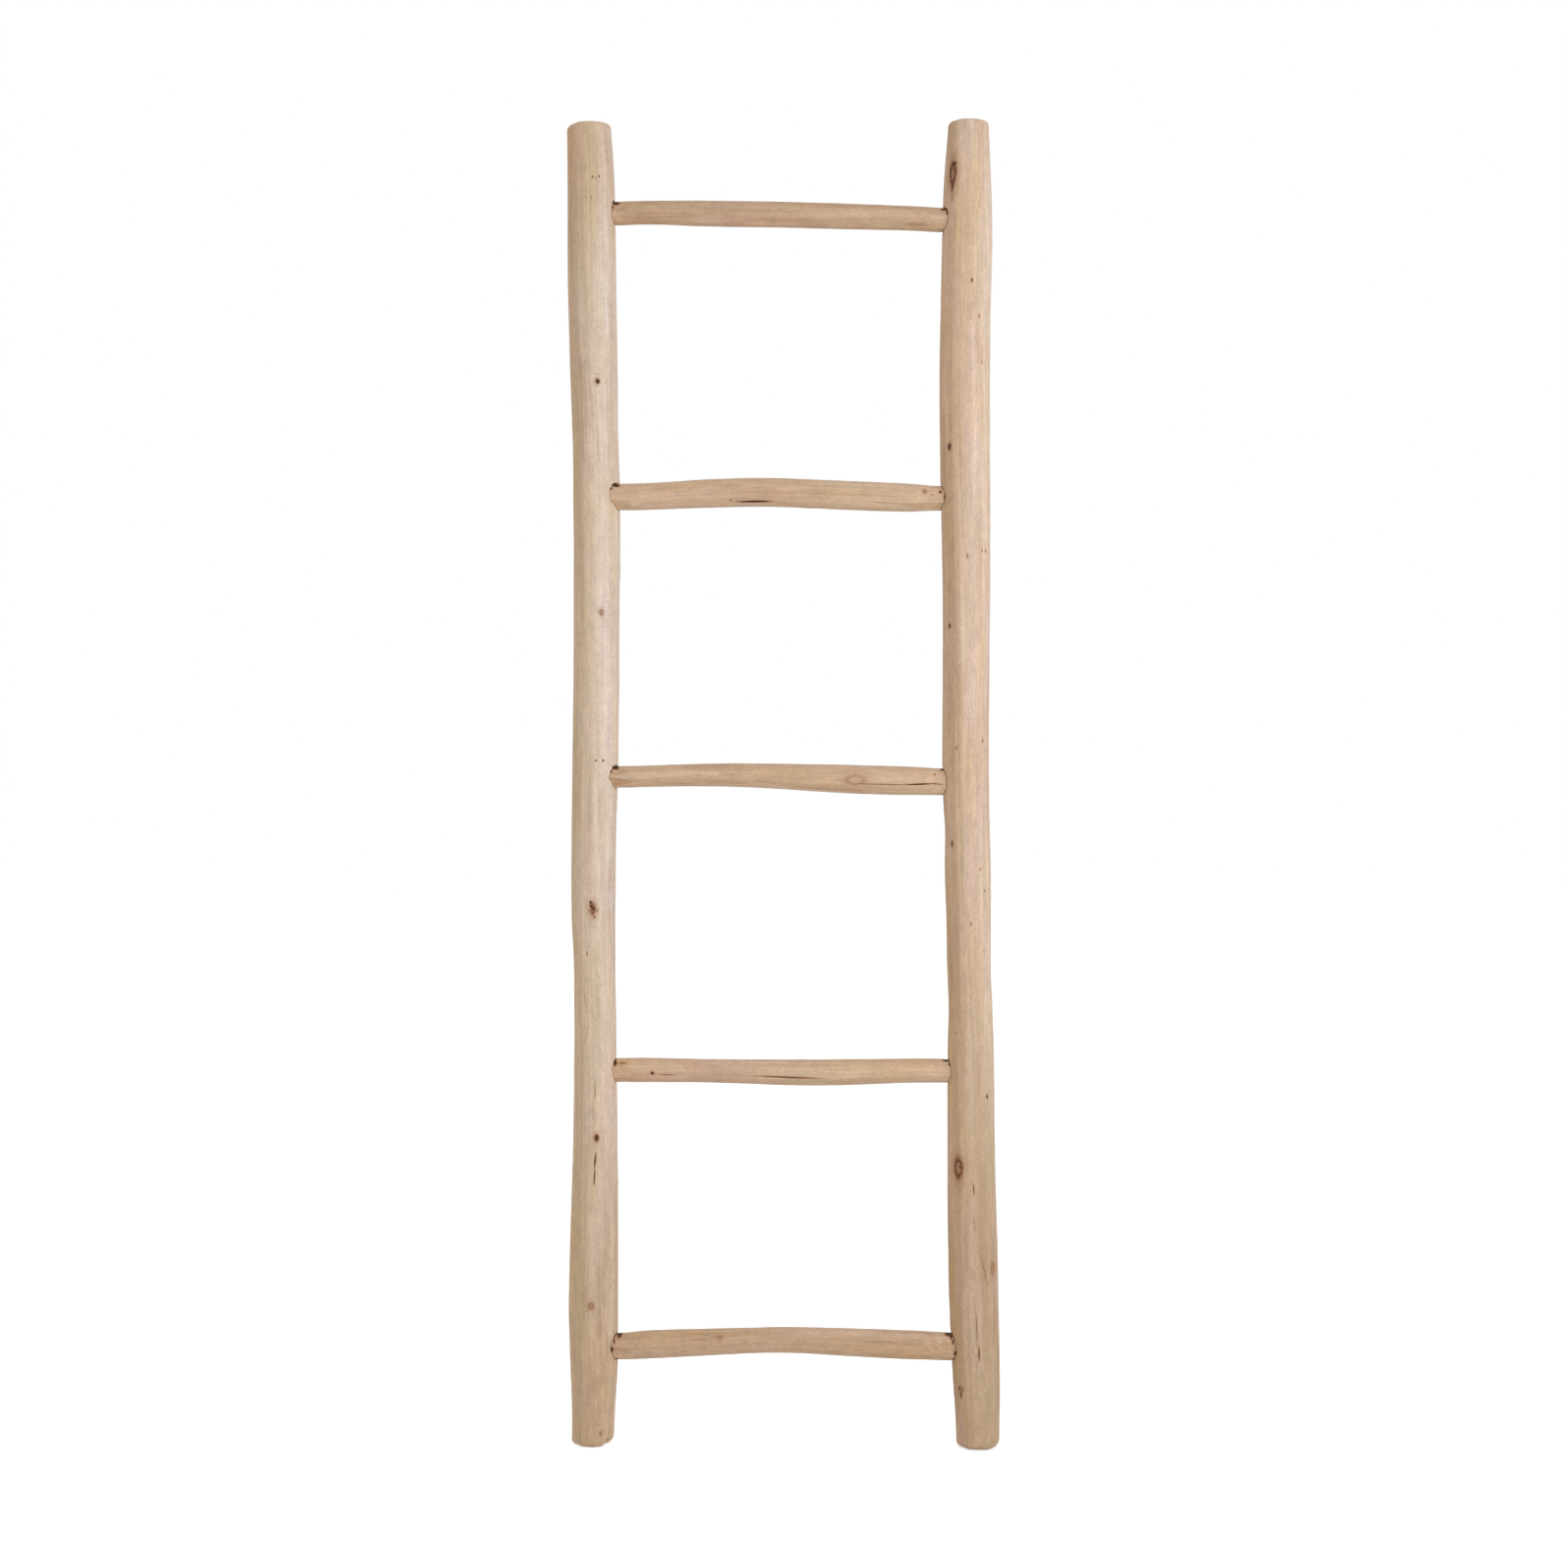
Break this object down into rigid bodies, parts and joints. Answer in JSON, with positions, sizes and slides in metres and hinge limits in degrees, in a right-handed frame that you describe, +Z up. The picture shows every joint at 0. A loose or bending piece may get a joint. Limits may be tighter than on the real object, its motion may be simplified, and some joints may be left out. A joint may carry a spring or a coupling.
{
  "type": "blanket ladder",
  "caption": "Rustic leaning ladder of hand-shaved round poles, with rungs pegged into blind mortises, for hanging blankets.",
  "frame": {"origin": "on the floor, midway between the two feet", "axes": "+Z up along the stiles, +X to the right and +Y to the back, seen from in front"},
  "size_m": [0.4915, 0.0613, 1.5],
  "materials": {
    "stile_wood": "raw, sanded",
    "rung_wood": "raw, sanded",
    "peg_wood": "raw, cut flush"
  },
  "bodies": {
    "root": {"left_stile": "stile_wood", "peg_left_1": "peg_wood", "peg_left_2": "peg_wood", "peg_left_3": "peg_wood", "peg_left_4": "peg_wood", "peg_left_5": "peg_wood", "peg_right_1": "peg_wood", "peg_right_2": "peg_wood", "peg_right_3": "peg_wood", "peg_right_4": "peg_wood", "peg_right_5": "peg_wood", "right_stile": "stile_wood", "rung_1": "rung_wood", "rung_2": "rung_wood", "rung_3": "rung_wood", "rung_4": "rung_wood", "rung_5": "rung_wood"}
  },
  "joints": []
}
